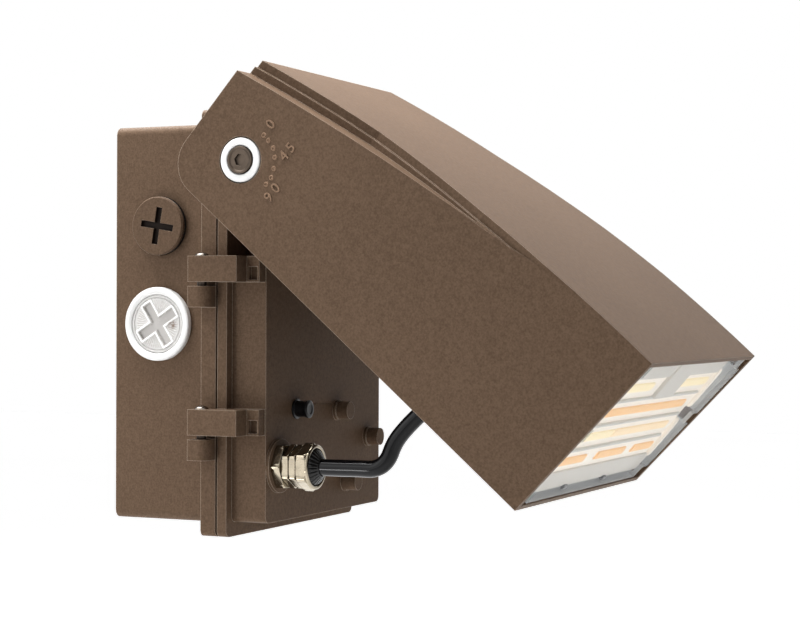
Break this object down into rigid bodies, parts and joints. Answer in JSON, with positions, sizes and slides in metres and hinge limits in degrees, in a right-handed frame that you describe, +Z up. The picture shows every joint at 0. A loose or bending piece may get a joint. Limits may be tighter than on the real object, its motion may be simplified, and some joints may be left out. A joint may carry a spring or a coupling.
{
  "type": "wall pack light",
  "caption": "Wall light with a back box, a hinged front cover and a hooded lamp head that tilts on a yoke, fed by a short cable from a gland.",
  "frame": {"origin": "centre of the back box's back face, on the axis of its wire entry", "axes": "+Z up, +Y into the wall, so the lamp head points along -Y and down; +X to the right as seen from in front of the wall"},
  "size_m": [0.1698, 0.2715, 0.2176],
  "materials": {
    "bronze_coat": "fine sand-textured powder coat",
    "dark_coat": "fine sand-textured powder coat",
    "black_rubber": "soft matte",
    "steel": "bright turned steel",
    "brass_screw": "turned brass",
    "nickel_brass": "nickel plate over brass",
    "cream_plastic": "moulded",
    "white_plastic": "moulded satin",
    "clear_cap": "clear moulded polycarbonate",
    "cell": "sensor face",
    "black_plastic": "moulded",
    "driver_metal": "brushed",
    "spreader_metal": "extruded",
    "board": "white solder mask",
    "cool_phosphor": "pale yellow phosphor under silicone",
    "warm_phosphor": "amber phosphor under silicone",
    "grey_plastic": "moulded",
    "clear_lens": "clear acrylic with a slight blue tint",
    "cable_jacket": "glossy black jacket"
  },
  "bodies": {
    "box": {"back_box": "bronze_coat", "box_seal": "black_rubber", "hinge_pins": "steel", "ground_screw": "brass_screw", "terminal_block": "cream_plastic", "plug_seal": "black_rubber", "conduit_plug": "bronze_coat", "photocell_ring": "white_plastic", "photocell_cap": "clear_cap", "photocell_cell": "cell", "photocell_nut": "black_plastic"},
    "cover": {"front_cover": "bronze_coat", "cover_screws": "steel", "breather_vent": "black_plastic", "led_driver": "driver_metal", "driver_screws": "steel", "gland_body": "nickel_brass", "gland_nut": "nickel_brass", "gland_seal": "black_rubber", "gland_locknut": "nickel_brass", "tilt_yoke": "dark_coat", "yoke_screws": "steel", "tooth_washers": "steel", "pivot_screws": "steel", "head_cable": "cable_jacket"},
    "head": {"pivot_rings": "white_plastic", "head_housing": "bronze_coat", "head_gland": "nickel_brass", "heat_spreader": "spreader_metal", "engine_screws": "steel", "led_board": "board", "cool_strips": "cool_phosphor", "warm_strips": "warm_phosphor", "row_ribs": "grey_plastic", "engine_seal": "black_rubber", "lens": "clear_lens"}
  },
  "joints": [
    {"name": "cover_swing", "type": "hinge", "parent": "box", "child": "cover", "pos_m": [-0.0713, -0.0533, 0], "axis": [0, 0, -1], "range_deg": [0, 90]},
    {"name": "head_tilt", "type": "hinge", "parent": "cover", "child": "head", "pos_m": [0, -0.0801, 0.0731], "axis": [1, 0, 0], "range_deg": [-41, 49], "deforming": ["head_cable"]}
  ]
}
